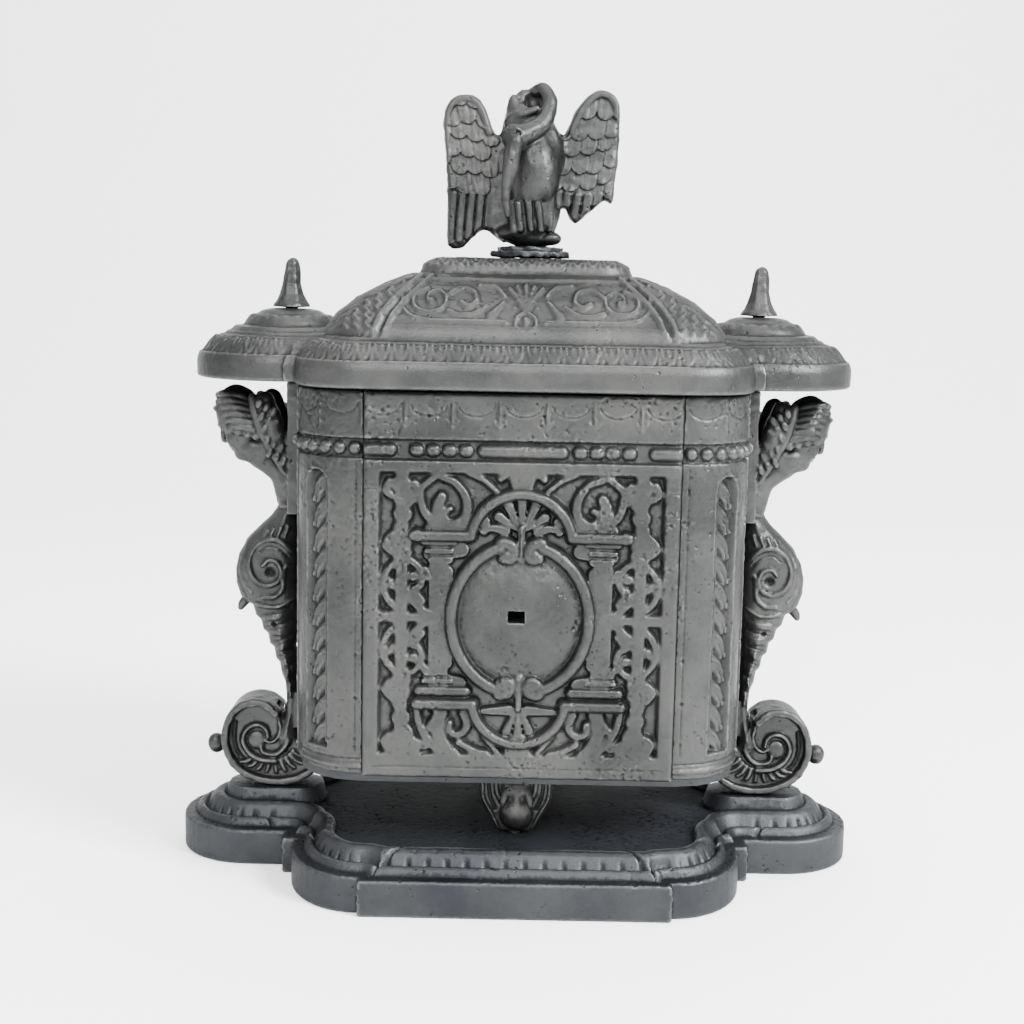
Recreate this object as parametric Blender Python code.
"""Casket inkwell of cast grey metal, modelled as separate solids.

The casket stands on two scroll-footed caryatid brackets and two claw feet above a lobed base. Its
domed lid swings on a pinned hinge at the back, and a glass ink pot hangs in a deck inside the box.
Units are metres, +Z is up, the front faces -Y, and the origin is the middle of the base's underside.
"""
import math

import bmesh
import bpy
from mathutils import Euler, Matrix, Vector

MM = 0.001

# Driving dimensions, in millimetres.
GAP = 0.3                      # clearance between touching pieces
JOIN_SLACK = 0.1               # how far a cut may trim a joined lump

BASE_BAR_HALF = 25.0           # straight front bar of the base, half its width
BASE_FRONT_Y = 34.0
BASE_CORNER = (25.0, 17.5)     # centre of the rounded corner in plan
BASE_CORNER_RADII = (12.5, 15.0)
BASE_STEP = (39.5, 16.0)       # small square step between corner and lobe
BASE_LOBE_CENTRE_X = 46.5
BASE_LOBE_RADIUS = 12.5
BASE_TOP_Z = 9.5
BASE_FIELD_Z = 8.0
BASE_HOLLOW_Z = 5.0
BASE_WALL = 3.5
PAD_X = (33.5, 52.1)           # raised pad on each lobe, under the scroll foot
PAD_HALF_Y = 5.6
PAD_TOP_Z = 11.3

BODY_HALF_X = 37.2
BODY_CORNER = (25.0, 15.0)
BODY_CORNER_RADIUS = 11.5
BODY_STEP_Y = 14.0
BODY_WALL = 3.0
BODY_BOTTOM_Z = 21.0
BODY_TOP_Z = 83.0
INNER_HALF_X = 33.5

PANEL_HALF_X = 24.7
PANEL_FRONT_Y = 27.5
PANEL_BACK_Y = 24.5
PANEL_EDGE = 0.8
FIELD_HALF_X = 22.4
FIELD_Z = (25.0, 70.4)
FIELD_DEPTH = 1.2
OVAL_Z = 47.3
OVAL_RADII = (11.75, 12.9)
OVAL_BAND = 1.6
SLOT_SIZE = (2.6, 1.8)
SLOT_CENTRE = (-0.6, 47.9)

FLOOR_Z = (19.2, 20.7)
DECK_Z = (66.0, 67.5)
DECK_HALF = (33.1, 23.1)
DECK_HOLE_R = 17.3
POT_OUTER_R = 16.6
POT_INNER_R = 14.4
POT_FLANGE_R = 19.5
POT_BOTTOM_Z = 31.0
POT_TOP_Z = 70.6

LID_Z = 83.3
LID_FRONT_Y = 30.0
LID_CORNER = (25.0, 18.0)
LID_CORNER_RADII = (12.0, 12.0)
LID_STEP = (39.0, 16.8)
LID_LOBE_CENTRE_X = 40.0
LID_LOBE_RADIUS = 16.0
LID_SLAB_TOP_Z = 91.2
SPIRE_X = 40.0
FINIAL_X = 0.6                 # the finial stands a little off the middle

FOOT_X = 45.3                  # volute of the scroll foot
FOOT_Z = 19.6
FOOT_RADIUS = 6.3
CLAW_Y = 15.0

HINGE_Y = 31.95
HINGE_Z = 83.3
KNUCKLE_R = 1.7
KNUCKLE_BORE_R = 1.05
HINGE_PIN_R = 0.75
KNUCKLE_SPLIT = 4.05           # half the width of the middle knuckle's bay
HINGE_HALF = 12.0

SCREW_R = 1.0
SCREW_HOLE_R = 1.35
SCREW_HEAD_R = 1.9
BRACKET_SCREW_Z = {"upper": 73.0, "lower": 24.8}
BRACKET_SCREW_LENGTH = 7.8

BRACKET_PLATE = (2.6, 5.2, (60.0, 82.6))   # thickness, half width and heights of the back plate
BRACKET_PAD = (3.1, 3.1, (21.7, 28.1))     # the same for the pad on the stem's foot
CLAW_HALF_DEPTH = 2.4
CLAW_TOP_Z = 18.9

HINGE_LEAF = 1.0               # thickness of the body leaf
LID_LEAF = 0.9
BODY_RIVET = (8.0, 77.5)       # half spacing and height
LID_RIVET = (7.2, 86.4)
RIVET_HOLE_R = 0.9
LID_RIVET_HOLE_R = 0.7

# Colour, roughness and metallic value of each finish.
CAST = ((0.155, 0.155, 0.150), 0.42, 0.9)
CAST_DARK = ((0.085, 0.088, 0.090), 0.5, 0.85)
STEEL = ((0.33, 0.33, 0.34), 0.35, 1.0)
BRASS = ((0.55, 0.42, 0.18), 0.4, 1.0)
GLASS = ((0.72, 0.80, 0.78), 0.05, 0.0)

SIDES = (("left", -1), ("right", 1))


def clear_scene():
    """Remove every object that the file opened with."""
    for item in list(bpy.data.objects):
        bpy.data.objects.remove(item, do_unlink=True)


def make_material(name, finish):
    """Return a Principled material called after its piece."""
    colour, roughness, metallic = finish
    material = bpy.data.materials.new(name + "_finish")
    material.use_nodes = True
    shader = material.node_tree.nodes["Principled BSDF"]
    shader.inputs["Base Color"].default_value = (*colour, 1.0)
    shader.inputs["Roughness"].default_value = roughness
    shader.inputs["Metallic"].default_value = metallic
    return material


def add_object(name, mesh_bm, origin, finish):
    """Turn a bmesh in world millimetres into an object whose origin is the given point."""
    bmesh.ops.remove_doubles(mesh_bm, verts=mesh_bm.verts, dist=1e-4)
    bmesh.ops.recalc_face_normals(mesh_bm, faces=mesh_bm.faces)
    mesh_bm.transform(Matrix.Translation(-Vector(origin)))
    mesh_bm.transform(Matrix.Scale(MM, 4))
    mesh = bpy.data.meshes.new(name)
    mesh_bm.to_mesh(mesh)
    mesh_bm.free()
    mesh.shade_smooth()
    mesh.set_sharp_from_angle(angle=math.radians(35))
    item = bpy.data.objects.new(name, mesh)
    bpy.context.scene.collection.objects.link(item)
    item.location = Vector(origin) * MM
    if finish is None:
        item.hide_render = True
        item.display_type = "WIRE"
    else:
        mesh.materials.append(make_material(name, finish))
    return item


def combine(item, operand, operation):
    """Add an exact Boolean of a hidden operand to a piece."""
    modifier = item.modifiers.new(operand.name, "BOOLEAN")
    modifier.operation = operation
    modifier.solver = "EXACT"
    modifier.object = operand


def loft_bm(rings):
    """Return a closed skin through rings of equal length; a ring of one point is a pole."""
    bm = bmesh.new()
    loops = [[bm.verts.new(point) for point in ring] for ring in rings]
    if list(rings[0]) == list(rings[-1]):
        loops[-1] = loops[0]
    for low, high in zip(loops, loops[1:]):
        count = max(len(low), len(high))
        for i in range(count):
            j = (i + 1) % count
            corners = [low[i % len(low)], low[j % len(low)], high[j % len(high)], high[i % len(high)]]
            unique = list(dict.fromkeys(corners))
            bm.faces.new(unique)
    for end in (loops[0], loops[-1]):
        if len(end) > 2 and loops[0] is not loops[-1]:
            bm.faces.new(end)
    bmesh.ops.delete(bm, geom=[vert for vert in bm.verts if not vert.link_faces], context="VERTS")
    return bm


def loft(name, rings, finish=None, origin=(0, 0, 0)):
    """Make an object from rings given in millimetres."""
    return add_object(name, loft_bm(rings), origin, finish)


def ellipse(centre, radii, count, z):
    """Return points round an ellipse in a level plane."""
    turns = [2 * math.pi * i / count for i in range(count)]
    return [(centre[0] + radii[0] * math.cos(t), centre[1] + radii[1] * math.sin(t), z) for t in turns]


def lathe(name, profile, centre, count, finish=None, axis="Z", origin=None):
    """Turn a profile of (radius, height) pairs about an axis through the centre."""
    turn = {"Z": Matrix.Identity(3), "X": Euler((0, math.pi / 2, 0)).to_matrix(),
            "-X": Euler((0, -math.pi / 2, 0)).to_matrix(), "Y": Euler((-math.pi / 2, 0, 0)).to_matrix()}[axis]
    rings = []
    for radius, height in profile:
        ring = [(0, 0, height)] if radius == 0 else ellipse((0, 0), (radius, radius), count, height)
        rings.append([turn @ Vector(point) + Vector(centre) for point in ring])
    return loft(name, rings, finish, origin or centre)


def rod(name, start, length, radius, axis="Z", count=12):
    """Make a hidden plain rod, used as a cutter."""
    return lathe(name, [(radius, 0), (radius, length)], start, count, None, axis)


def ellipsoid(name, centre, radii, tilt=(0, 0, 0), segments=12, rings=7):
    """Make a hidden ellipsoid, tilted by degrees about X, Y and Z, used as an operand."""
    bm = bmesh.new()
    bmesh.ops.create_uvsphere(bm, u_segments=segments, v_segments=rings, radius=1.0)
    turn = Euler([math.radians(angle) for angle in tilt]).to_matrix().to_4x4()
    bm.transform(Matrix.Translation(centre) @ turn @ Matrix.Diagonal((*radii, 1.0)))
    return add_object(name, bm, centre, None)


def block(name, low, high, finish=None):
    """Make a box between two corners."""
    rings = [[(low[0], low[1], z), (high[0], low[1], z), (high[0], high[1], z), (low[0], high[1], z)]
             for z in (low[2], high[2])]
    return loft(name, rings, finish)


def mirror_quarter(quarter):
    """Complete a plan outline from its quarter at +X, -Y, whose points run from the front to the side."""
    right = quarter + [(x, -y) for x, y in reversed(quarter) if y != 0]
    left = [(-x, y) for x, y in reversed(right) if x != 0]
    return right + left


def lobed_plan(inset, front, bar_half, corner, radii, step, lobe_x, lobe_r):
    """Return a lobed plan outline, moved in by inset, from its driving sizes."""
    quarter = [(bar_half - inset, -(front - inset))]
    for i in range(5):
        turn = math.pi / 2 * i / 4
        quarter.append((corner[0] + (radii[0] - inset) * math.sin(turn),
                        -corner[1] - (radii[1] - inset) * math.cos(turn)))
    quarter.append((corner[0] + radii[0] - inset, -(step[1] - inset)))
    quarter.append((step[0] - inset, -(step[1] - inset)))
    quarter.append((step[0] - inset, -(lobe_r - inset)))
    for i in range(7):
        turn = math.pi / 2 * i / 6
        quarter.append((lobe_x + (lobe_r - inset) * math.sin(turn), -(lobe_r - inset) * math.cos(turn)))
    quarter[-1] = (lobe_x + lobe_r - inset, 0)
    return mirror_quarter(quarter)


def base_plan(inset):
    """Return the outline of the base, moved in by inset."""
    return lobed_plan(inset, BASE_FRONT_Y, BASE_BAR_HALF, BASE_CORNER, BASE_CORNER_RADII, BASE_STEP,
                      BASE_LOBE_CENTRE_X, BASE_LOBE_RADIUS)


def lid_plan(inset):
    """Return the outline of the lid's rim, moved in by inset."""
    return lobed_plan(inset, LID_FRONT_Y, LID_CORNER[0], LID_CORNER, LID_CORNER_RADII, LID_STEP,
                      LID_LOBE_CENTRE_X, LID_LOBE_RADIUS)


def at_height(outline, z):
    """Lift a plan outline to a height."""
    return [(x, y, z) for x, y in outline]


def rounded_rectangle(half_x, half_y, radius, z, steps=4):
    """Return a level rectangle with round corners."""
    points = []
    for sign_x, sign_y, start in ((1, 1, 0), (-1, 1, 90), (-1, -1, 180), (1, -1, 270)):
        for i in range(steps + 1):
            turn = math.radians(start + 90 * i / steps)
            points.append((sign_x * (half_x - radius) + radius * math.cos(turn),
                           sign_y * (half_y - radius) + radius * math.sin(turn), z))
    return points


def screw(name, seat, length, axis, finish=STEEL):
    """Make a round-head screw whose head sits below its seat and whose shank runs along the axis."""
    profile = [(0, -1.5), (1.1, -1.4), (SCREW_HEAD_R, -0.7), (SCREW_HEAD_R, -GAP), (SCREW_R, -GAP),
               (SCREW_R, length - 0.6), (0.4, length), (0, length)]
    return lathe(name, profile, seat, 12, finish, axis)


def build_base():
    """Base: lobed plinth, ledge, ovolo and a sunk field, hollow below."""
    profile = [(0.5, 0.0), (0.0, 0.5), (0.0, 5.6), (0.5, 6.1), (2.4, 6.3), (2.9, 7.3), (4.2, 8.8),
               (5.6, BASE_TOP_Z), (6.8, 9.4), (7.2, BASE_FIELD_Z)]
    base = loft("base_plinth", [at_height(base_plan(inset), z) for inset, z in profile], CAST_DARK)
    hollow = loft("base_hollow", [at_height(base_plan(BASE_WALL), z) for z in (-1.0, BASE_HOLLOW_Z)])
    combine(base, hollow, "DIFFERENCE")
    for side, sign in SIDES:
        middle_x = sign * sum(PAD_X) / 2
        half_x = (PAD_X[1] - PAD_X[0]) / 2
        rings = []
        for inset, z in ((0, BASE_FIELD_Z - 1), (0, PAD_TOP_Z - 0.7), (0.7, PAD_TOP_Z)):
            outline = rounded_rectangle(half_x - inset, PAD_HALF_Y - inset, PAD_HALF_Y - inset - 0.1, z)
            rings.append([(x + middle_x, y, height) for x, y, height in outline])
        combine(base, loft("base_pad_" + side, rings), "UNION")
    places = {"front": (0, -CLAW_Y, 7.0), "rear": (0, CLAW_Y, 7.0), "left": (-FOOT_X, 0, 11.0),
              "right": (FOOT_X, 0, 11.0)}
    for side, (x, y, length) in places.items():
        combine(base, rod("base_hole_" + side, (x, y, 2.0), 12.0, SCREW_HOLE_R), "DIFFERENCE")
        screw("base_screw_" + side, (x, y, BASE_HOLLOW_Z), length, "Z")


def build_claw_foot(side, sign):
    """Claw foot: a winged plate over a knuckle, standing on the base's field."""
    y = sign * CLAW_Y
    sole_z = BASE_FIELD_Z + GAP
    wings = [(-6.3, CLAW_TOP_Z), (-6.3, 12.6), (-3.1, sole_z), (3.1, sole_z), (6.3, 12.6),
             (6.3, CLAW_TOP_Z)]
    rings = [[(x, y + offset, z) for x, z in wings] for offset in (-CLAW_HALF_DEPTH, CLAW_HALF_DEPTH)]
    foot = loft("claw_foot_" + side, rings, CAST)
    knuckle = ellipsoid("claw_knuckle_" + side, (0.2, y + sign * 2.0, 11.8), (2.9, 2.6, 3.0))
    combine(foot, knuckle, "UNION")
    combine(foot, rod("claw_hole_low_" + side, (0, y, 6.0), 6.8, SCREW_HOLE_R), "DIFFERENCE")
    combine(foot, rod("claw_hole_high_" + side, (0, y, 15.2), 6.0, SCREW_HOLE_R), "DIFFERENCE")


def build_floor():
    """Floor plate under the box, screwed down to the claw feet."""
    rings = [rounded_rectangle(36.5, 24.0, 11.0, z) for z in FLOOR_Z]
    floor = loft("box_floor", rings, CAST_DARK)
    for side, sign in (("front", -1), ("rear", 1)):
        y = sign * CLAW_Y
        combine(floor, rod("floor_hole_" + side, (0, y, 17.0), 6.0, SCREW_HOLE_R), "DIFFERENCE")
        profile = [(0, 22.2), (1.1, 22.1), (SCREW_HEAD_R, 21.4), (SCREW_HEAD_R, 21.0), (SCREW_R, 21.0),
                   (SCREW_R, 16.4), (0.4, 15.8), (0, 15.8)]
        lathe("floor_screw_" + side, profile, (0, y, 0), 12, STEEL)


def build_panel(name, sign):
    """Front or back panel: a framed field with a raised oval band and a convex boss."""
    outer_y = sign * PANEL_FRONT_Y
    inner_y = sign * PANEL_BACK_Y
    bevel_y = sign * (PANEL_FRONT_Y - PANEL_EDGE)

    def rectangle(y, inset):
        low_z, high_z = BODY_BOTTOM_Z + inset, BODY_TOP_Z - inset
        half = PANEL_HALF_X - inset
        return [(-half, y, low_z), (half, y, low_z), (half, y, high_z), (-half, y, high_z)]

    panel = loft(name, [rectangle(inner_y, 0), rectangle(bevel_y, 0), rectangle(outer_y, PANEL_EDGE)], CAST)
    field_y = sorted((sign * (PANEL_FRONT_Y - FIELD_DEPTH), sign * (PANEL_FRONT_Y + 1)))
    field = block(name + "_field", (-FIELD_HALF_X, field_y[0], FIELD_Z[0]),
                  (FIELD_HALF_X, field_y[1], FIELD_Z[1]))
    combine(panel, field, "DIFFERENCE")

    def oval(inset, depth):
        y = sign * (PANEL_FRONT_Y - depth)
        return [(x, y, OVAL_Z + z) for x, z, _ in
                ellipse((0, 0), (OVAL_RADII[0] - inset, OVAL_RADII[1] - inset), 28, 0)]

    boss_profile = [(0.0, 2.2), (0.0, 0.6), (0.5, 0.1), (OVAL_BAND - 0.5, 0.1), (OVAL_BAND, 0.9),
                    (OVAL_BAND + 1.6, 0.6), (5.5, 0.1), (8.5, -0.2)]
    combine(panel, loft(name + "_oval", [oval(inset, depth) for inset, depth in boss_profile]), "UNION")
    return panel


def build_panels():
    """The two panels; the front boss has a small slot, the back takes the hinge rivets."""
    front = build_panel("front_panel", -1)
    half_x, half_z = SLOT_SIZE[0] / 2, SLOT_SIZE[1] / 2
    slot = block("panel_slot", (SLOT_CENTRE[0] - half_x, -PANEL_FRONT_Y - 2, SLOT_CENTRE[1] - half_z),
                 (SLOT_CENTRE[0] + half_x, -PANEL_BACK_Y + 2, SLOT_CENTRE[1] + half_z))
    combine(front, slot, "DIFFERENCE")
    back = build_panel("back_panel", 1)
    for side, sign in SIDES:
        place = (sign * BODY_RIVET[0], PANEL_BACK_Y + 0.8, BODY_RIVET[1])
        hole = rod("back_hole_" + side, place, 6.0, RIVET_HOLE_R, "Y")
        combine(back, hole, "DIFFERENCE")


def casing_plan(sign):
    """Return the plan of an end casing: rounded corners, small steps and a flat side wall."""
    cx, cy = BODY_CORNER
    outer, inner = [], []
    for i in range(7):
        turn = math.pi / 2 * i / 6
        outer.append((cx + BODY_CORNER_RADIUS * math.sin(turn), -cy - BODY_CORNER_RADIUS * math.cos(turn)))
        radius = BODY_CORNER_RADIUS - BODY_WALL
        inner.append((cx + radius * math.sin(turn), -cy - radius * math.cos(turn)))
    outer += [(cx + BODY_CORNER_RADIUS, -BODY_STEP_Y), (BODY_HALF_X, -BODY_STEP_Y)]
    outer += [(x, -y) for x, y in reversed(outer)]
    inner += [(x, -y) for x, y in reversed(inner)]
    return [(sign * x, y) for x, y in outer + inner[::-1]]


def build_casing(side, sign):
    """End casing: a C-shaped wall with a niche in each corner and a lug that carries the deck."""
    casing = loft("casing_" + side, [at_height(casing_plan(sign), z) for z in (BODY_BOTTOM_Z, BODY_TOP_Z)],
                  CAST)
    lug = block("casing_lug_" + side, (sign * 31.0, -5.0, 63.0), (sign * 34.5, 5.0, DECK_Z[0] - GAP))
    combine(casing, lug, "UNION")
    for row, z in BRACKET_SCREW_Z.items():
        axis = "X" if sign > 0 else "-X"
        start = (sign * (INNER_HALF_X - 1), 0, z)
        combine(casing, rod(f"casing_hole_{row}_{side}", start, 8.0, SCREW_HOLE_R, axis), "DIFFERENCE")
        screw(f"bracket_screw_{row}_{side}", (sign * INNER_HALF_X, 0, z), BRACKET_SCREW_LENGTH, axis)
    for corner, sign_y in (("front", -1), ("rear", 1)):
        turn = math.radians(42)
        middle = Vector((sign * (BODY_CORNER[0] + BODY_CORNER_RADIUS * math.sin(turn)),
                         sign_y * (BODY_CORNER[1] + BODY_CORNER_RADIUS * math.cos(turn)), 0))
        outward = Vector((sign * math.sin(turn), sign_y * math.cos(turn), 0))
        along = Vector((-outward.y, outward.x, 0))
        shape = [(-2.2, 26.5), (0, 25.2), (2.2, 26.5), (2.2, 67.5), (1.5, 69.3), (0, 70.0), (-1.5, 69.3),
                 (-2.2, 67.5)]
        rings = [[middle + outward * depth + along * u + Vector((0, 0, z)) for u, z in shape]
                 for depth in (-0.9, 2.0)]
        combine(casing, loft(f"casing_niche_{corner}_{side}", rings), "DIFFERENCE")


def sweep_rings(path, count=10):
    """Return elliptical rings along a path of (x, z, in-plane radius, half depth), capped by poles."""
    points = [Vector((x, 0, z)) for x, z, _, _ in path]
    rings = []
    for i, (_, _, across, deep) in enumerate(path):
        ahead = points[min(i + 1, len(points) - 1)] - points[max(i - 1, 0)]
        normal = Vector((ahead.z, 0, -ahead.x)).normalized()
        ring = []
        for k in range(count):
            turn = 2 * math.pi * k / count
            ring.append(points[i] + normal * across * math.cos(turn) + Vector((0, deep * math.sin(turn), 0)))
        rings.append(ring)
    return [[points[0]]] + rings + [[points[-1]]]


def build_caryatid(side, sign):
    """Caryatid bracket: back plate, head, arms, belly scroll, tapering stem and scroll foot."""
    back_x = BODY_HALF_X + GAP
    name = "caryatid_" + side

    def mirrored(path):
        return [(sign * x, z, across, deep) for x, z, across, deep in path]

    torso_path = [(45.4, 72.0, 2.4, 3.4), (43.2, 67.0, 2.6, 4.0), (41.6, 62.5, 2.2, 3.8),
                  (43.2, 57.0, 3.8, 4.2), (44.9, 51.0, 4.8, 4.4), (44.6, 46.0, 4.4, 4.0),
                  (42.9, 40.5, 3.4, 3.4), (41.3, 35.0, 2.1, 2.6), (41.0, 29.0, 1.9, 2.4),
                  (41.6, 23.0, 2.4, 2.8)]
    torso = loft(name, sweep_rings(mirrored(torso_path)), CAST)
    for label, (thick, half_y, (low_z, high_z)) in (("plate", BRACKET_PLATE), ("pad", BRACKET_PAD)):
        flat = block(f"{name}_{label}", (sign * back_x, -half_y, low_z),
                     (sign * (back_x + thick), half_y, high_z))
        combine(torso, flat, "UNION")
    head = ellipsoid(name + "_head", (sign * 49.0, -0.2, 75.4), (4.6, 5.0, 6.9), (0, sign * 6, 0))
    combine(torso, head, "UNION")
    for row, y in (("front", -5.0), ("rear", 5.0)):
        arm = ellipsoid(f"{name}_arm_{row}", (sign * 42.6, y, 73.6), (2.5, 2.2, 8.0), (0, sign * 12, 0))
        combine(torso, arm, "UNION")
    volute_centre = (sign * FOOT_X, -4.4, FOOT_Z)
    volute = lathe(name + "_volute", [(FOOT_RADIUS - 0.6, 0), (FOOT_RADIUS, 0.6), (FOOT_RADIUS, 8.2),
                                      (FOOT_RADIUS - 0.6, 8.8)], volute_centre, 16, None, "Y")
    combine(torso, volute, "UNION")
    leaf_path = [(54.2, 17.9, 0.9, 1.3), (52.2, 15.0, 1.0, 3.0), (48.6, 13.2, 1.2, 4.4),
                 (44.4, 12.8, 1.2, 5.2), (40.2, 13.2, 1.2, 5.2), (36.4, 14.6, 1.2, 4.4),
                 (33.0, 16.8, 1.0, 3.2)]
    combine(torso, loft(name + "_leaf", sweep_rings(mirrored(leaf_path))), "UNION")
    knob = ellipsoid(name + "_knob", (sign * 53.6, 0, 17.8), (1.6, 1.7, 1.6), segments=8, rings=5)
    combine(torso, knob, "UNION")
    axis = "X" if sign > 0 else "-X"
    for row, z in BRACKET_SCREW_Z.items():
        hole = rod(f"{name}_hole_{row}", (sign * (back_x - 2), 0, z), 6.2, SCREW_HOLE_R, axis)
        combine(torso, hole, "DIFFERENCE")
    combine(torso, rod(name + "_hole_foot", (sign * FOOT_X, 0, 9.0), 8.0, SCREW_HOLE_R), "DIFFERENCE")


def build_deck_and_pot():
    """Deck plate with a round well, and the glass ink pot that hangs in it by its flange."""
    deck = loft("well_deck", [rounded_rectangle(*DECK_HALF, 8.1, z) for z in DECK_Z], CAST_DARK)
    combine(deck, rod("deck_well", (0, 0, 60.0), 12.0, DECK_HOLE_R, count=32), "DIFFERENCE")
    flange_z = DECK_Z[1] + GAP
    profile = [(0, POT_BOTTOM_Z + 0.8), (POT_OUTER_R - 3.5, POT_BOTTOM_Z + 0.8),
               (POT_OUTER_R - 2.5, POT_BOTTOM_Z), (POT_OUTER_R - 1.0, POT_BOTTOM_Z + 0.4),
               (POT_OUTER_R, POT_BOTTOM_Z + 2.0), (POT_OUTER_R, flange_z), (POT_FLANGE_R, flange_z),
               (POT_FLANGE_R, POT_TOP_Z - 0.6), (POT_FLANGE_R - 0.8, POT_TOP_Z),
               (POT_INNER_R + 0.8, POT_TOP_Z), (POT_INNER_R, POT_TOP_Z - 1.0),
               (POT_INNER_R, POT_BOTTOM_Z + 4.5), (POT_INNER_R - 1.5, POT_BOTTOM_Z + 3.0),
               (0, POT_BOTTOM_Z + 3.0)]
    lathe("ink_pot", profile, (0, 0, 0), 28, GLASS)


def build_lid():
    """Lid: lobed rim and leaf band, framed dome, plateau and stepped lobe caps, hollow below."""
    hinge = (0, HINGE_Y, HINGE_Z)
    rim = [(0.6, LID_Z), (0.0, 84.1), (0.0, 87.2), (0.8, 87.9), (3.2, 90.2), (4.2, 90.5),
           (5.0, LID_SLAB_TOP_Z)]
    lid = loft("lid", [at_height(lid_plan(inset), z) for inset, z in rim], CAST, hinge)
    dome = [(90.0, 32.4, 24.9, 9.0), (91.9, 32.2, 24.7, 9.0), (94.2, 30.6, 23.0, 8.5),
            (96.8, 27.6, 20.0, 8.0), (99.2, 23.4, 16.2, 7.0), (100.9, 19.4, 12.6, 6.0),
            (101.5, 17.4, 10.9, 5.5), (102.4, 17.6, 11.0, 5.5), (104.0, 14.6, 8.6, 5.0)]
    rings = [rounded_rectangle(half_x, half_y, radius, z) for z, half_x, half_y, radius in dome]
    combine(lid, loft("lid_dome", rings), "UNION")
    hollow = [(82.0, 31.6, 22.8, 8.0), (90.0, 30.0, 22.0, 8.0), (94.6, 26.0, 18.2, 7.0),
              (98.2, 20.0, 12.8, 6.0), (100.2, 14.0, 8.0, 4.0)]
    rings = [rounded_rectangle(half_x, half_y, radius, z) for z, half_x, half_y, radius in hollow]
    combine(lid, loft("lid_hollow", rings), "DIFFERENCE")
    combine(lid, rod("lid_stud_hole", (FINIAL_X, 0, 98.0), 8.0, 1.85), "DIFFERENCE")
    for side, sign in SIDES:
        cap = [(10.4, 90.6), (9.4, 91.9), (8.0, 92.1), (7.4, 93.2), (5.6, 94.4), (3.4, 94.9)]
        combine(lid, lathe("lid_cap_" + side, cap, (sign * SPIRE_X, 0, 0), 20), "UNION")
        lobe = rod("lid_lobe_hollow_" + side, (sign * 45.0, 0, 82.0), 5.6, 8.4, count=16)
        combine(lid, lobe, "DIFFERENCE")
        combine(lid, rod("lid_spire_hole_" + side, (sign * SPIRE_X, 0, 91.6), 5.0, 1.3), "DIFFERENCE")
        place = (sign * LID_RIVET[0], LID_FRONT_Y - 2.6, LID_RIVET[1])
        rivet_hole = rod("lid_rivet_hole_" + side, place, 4.0, LID_RIVET_HOLE_R, "Y", 8)
        combine(lid, rivet_hole, "DIFFERENCE")
        spire = [(0, 92.0), (1.0, 92.0), (1.0, 95.2), (3.2, 95.2), (2.9, 95.9), (1.95, 97.5),
                 (1.45, 99.4), (1.2, 101.2), (1.15, 102.4), (0.75, 103.2), (0, 103.5)]
        lathe("spire_" + side, spire, (sign * SPIRE_X, 0, 0), 16, CAST)


def build_finial():
    """Pelican with raised wings on a stud, its rough collar, and the nut inside the lid."""
    lathe("finial_collar", [(1.85, 104.3), (6.6, 104.3), (7.0, 104.9), (6.7, 105.7), (4.6, 106.0),
                            (1.85, 106.0), (1.85, 104.3)], (FINIAL_X, 0, 0), 24, CAST_DARK)
    stud = [(0, 97.6), (1.1, 97.6), (1.5, 98.0), (1.5, 106.3), (3.2, 106.3), (3.0, 108.0), (2.4, 110.0),
            (0, 110.0)]
    bird = lathe("pelican_finial", stud, (FINIAL_X, 0, 0), 16, CAST)
    body = ellipsoid("pelican_body", (0.8, -1.6, 115.2), (4.7, 5.2, 8.6), (-10, 0, 0), 16, 9)
    combine(bird, body, "UNION")
    neck_path = [((2.6, 1.0, 119.5), 3.2), ((3.6, 1.6, 124.0), 2.6), ((4.0, 1.2, 128.0), 2.1),
                 ((3.2, -0.4, 131.0), 1.9), ((1.0, -2.6, 131.4), 1.8), ((-0.6, -4.6, 129.0), 1.8),
                 ((-1.6, -6.2, 125.6), 2.1), ((-2.2, -7.2, 122.6), 2.3), ((-2.5, -7.9, 119.4), 1.5),
                 ((-2.9, -8.2, 115.4), 1.0), ((-3.2, -7.6, 111.6), 0.7)]
    rings = [[Vector(neck_path[0][0])]]
    for i, (point, radius) in enumerate(neck_path):
        ahead = Vector(neck_path[min(i + 1, len(neck_path) - 1)][0]) - Vector(neck_path[max(i - 1, 0)][0])
        side = Vector((1, 0.2, 0)).cross(ahead).normalized()
        across = ahead.normalized().cross(side)
        turns = [2 * math.pi * k / 10 for k in range(10)]
        rings.append([Vector(point) + (side * math.cos(t) + across * math.sin(t)) * radius for t in turns])
    rings.append([Vector(neck_path[-1][0])])
    combine(bird, loft("pelican_neck", rings), "UNION")
    left_wing = [(-2.0, 109.5), (-6.0, 110.5), (-9.6, 106.6), (-12.2, 105.4), (-13.6, 108.5),
                 (-14.3, 118.0), (-14.0, 125.5), (-12.6, 129.8), (-10.2, 131.3), (-7.8, 130.2),
                 (-5.4, 125.6), (-2.2, 122.6)]
    right_wing = [(2.0, 109.5), (7.0, 110.8), (12.4, 111.6), (14.6, 115.4), (15.2, 123.6),
                  (14.4, 129.6), (11.4, 132.5), (8.6, 130.4), (5.6, 125.2), (2.6, 122.6)]
    for side, outline in (("left", left_wing), ("right", right_wing)):
        rings = [[(x, y + abs(x) * 0.06, z) for x, z in outline] for y in (-0.4, 1.6)]
        combine(bird, loft("pelican_wing_" + side, rings), "UNION")
    nut = [ellipse((FINIAL_X, 0), (3.0, 3.0), 6, z) for z in (97.9, 99.8)]
    nut_item = loft("finial_nut", nut, BRASS)
    combine(nut_item, rod("nut_hole", (FINIAL_X, 0, 96.0), 6.0, 1.8), "DIFFERENCE")


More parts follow.
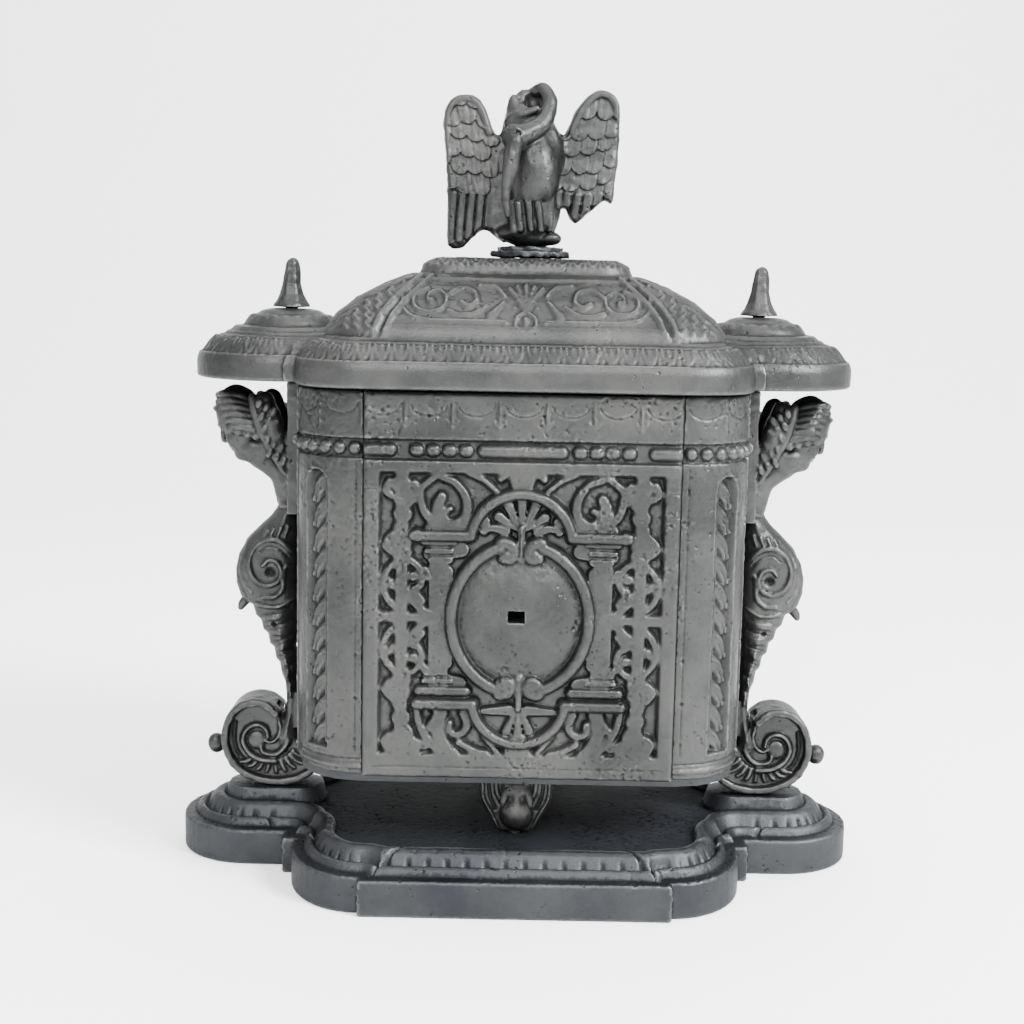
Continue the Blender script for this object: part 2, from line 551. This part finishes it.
def build_hinge():
    """Pinned hinge at the back: one leaf on the back panel, one on the lid's rim."""
    pin_axis = (0, HINGE_Y, HINGE_Z)
    leaf_y = PANEL_FRONT_Y + GAP
    body_leaf = block("hinge_body_leaf", (-HINGE_HALF, leaf_y, 74.6),
                      (HINGE_HALF, leaf_y + HINGE_LEAF, 81.6), STEEL)
    shelf = block("hinge_shelf", (-HINGE_HALF, leaf_y + 0.4, 81.0), (HINGE_HALF, HINGE_Y + 0.4, 82.4))
    combine(body_leaf, shelf, "UNION")
    barrel = rod("hinge_barrel", (-HINGE_HALF, HINGE_Y, HINGE_Z), 2 * HINGE_HALF, KNUCKLE_R, "X", 16)
    combine(body_leaf, barrel, "UNION")
    bay = block("hinge_bay", (-KNUCKLE_SPLIT, leaf_y + 1.6, 80.0), (KNUCKLE_SPLIT, 36.0, 86.0))
    combine(body_leaf, bay, "DIFFERENCE")
    bore = rod("hinge_body_bore", (-HINGE_HALF - 2, HINGE_Y, HINGE_Z), 2 * HINGE_HALF + 4, KNUCKLE_BORE_R,
               "X", 16)
    combine(body_leaf, bore, "DIFFERENCE")

    lid_y = LID_FRONT_Y + GAP
    middle = KNUCKLE_SPLIT - 0.35
    lid_leaf = block("hinge_lid_leaf", (-10.0, lid_y, 85.45), (10.0, lid_y + LID_LEAF, 87.6), STEEL)
    neck = block("hinge_neck", (-middle, lid_y, 83.9), (middle, lid_y + LID_LEAF, 86.0))
    combine(lid_leaf, neck, "UNION")
    knuckle = rod("hinge_lid_knuckle", (-middle, HINGE_Y, HINGE_Z), 2 * middle, KNUCKLE_R - 0.05, "X", 16)
    combine(lid_leaf, knuckle, "UNION")
    lid_bore = rod("hinge_lid_bore", (-8, HINGE_Y, HINGE_Z), 16, KNUCKLE_BORE_R, "X", 16)
    combine(lid_leaf, lid_bore, "DIFFERENCE")

    head_r = KNUCKLE_R
    end = HINGE_HALF + GAP
    half_pin = [(HINGE_PIN_R, end), (head_r, end), (head_r, end + 0.5), (head_r - 0.4, end + 0.9),
                (0, end + 0.9)]
    pin = [(radius, -along) for radius, along in reversed(half_pin)] + half_pin
    lathe("hinge_pin", pin, pin_axis, 16, STEEL, "X")

    for side, sign in SIDES:
        x, z = sign * BODY_RIVET[0], BODY_RIVET[1]
        hole = rod("leaf_hole_" + side, (x, leaf_y - 1, z), 4.0, RIVET_HOLE_R, "Y")
        combine(body_leaf, hole, "DIFFERENCE")
        face = leaf_y + HINGE_LEAF + GAP
        rivet = [(0, -3.2), (0.6, -3.2), (0.6, 0), (1.5, 0), (1.2, 0.6), (0, 0.9)]
        lathe("hinge_rivet_body_" + side, rivet, (x, face, z), 12, STEEL, "Y")
        x, z = sign * LID_RIVET[0], LID_RIVET[1]
        hole = rod("lid_leaf_hole_" + side, (x, lid_y - 1, z), 4.0, LID_RIVET_HOLE_R, "Y", 8)
        combine(lid_leaf, hole, "DIFFERENCE")
        face = lid_y + LID_LEAF + GAP
        rivet = [(0, -3.3), (0.4, -3.3), (0.4, 0), (0.95, 0), (0.75, 0.45), (0, 0.6)]
        lathe("hinge_rivet_lid_" + side, rivet, (x, face, z), 8, STEEL, "Y")


def check_joins():
    """Stop if a join dropped a lump: a piece must reach as far as all that was joined to it."""
    graph = bpy.context.evaluated_depsgraph_get()

    def reach(item):
        corners = [item.matrix_world @ Vector(corner) for corner in item.bound_box]
        return [(min(c[i] for c in corners), max(c[i] for c in corners)) for i in range(3)]

    for item in bpy.data.objects:
        joins = [m.object for m in item.modifiers if m.type == "BOOLEAN" and m.operation == "UNION"]
        whole = reach(item.evaluated_get(graph)) if joins else None
        for lump in joins:
            for (low, high), (lump_low, lump_high) in zip(whole, reach(lump)):
                if lump_low < low - JOIN_SLACK * MM or lump_high > high + JOIN_SLACK * MM:
                    raise ValueError(f"{item.name} lost {lump.name}")


def main():
    """Build the whole inkwell."""
    clear_scene()
    build_base()
    build_floor()
    build_panels()
    for side, sign in (("front", -1), ("rear", 1)):
        build_claw_foot(side, sign)
    for side, sign in SIDES:
        build_casing(side, sign)
        build_caryatid(side, sign)
    build_deck_and_pot()
    build_lid()
    build_finial()
    build_hinge()
    check_joins()


main()
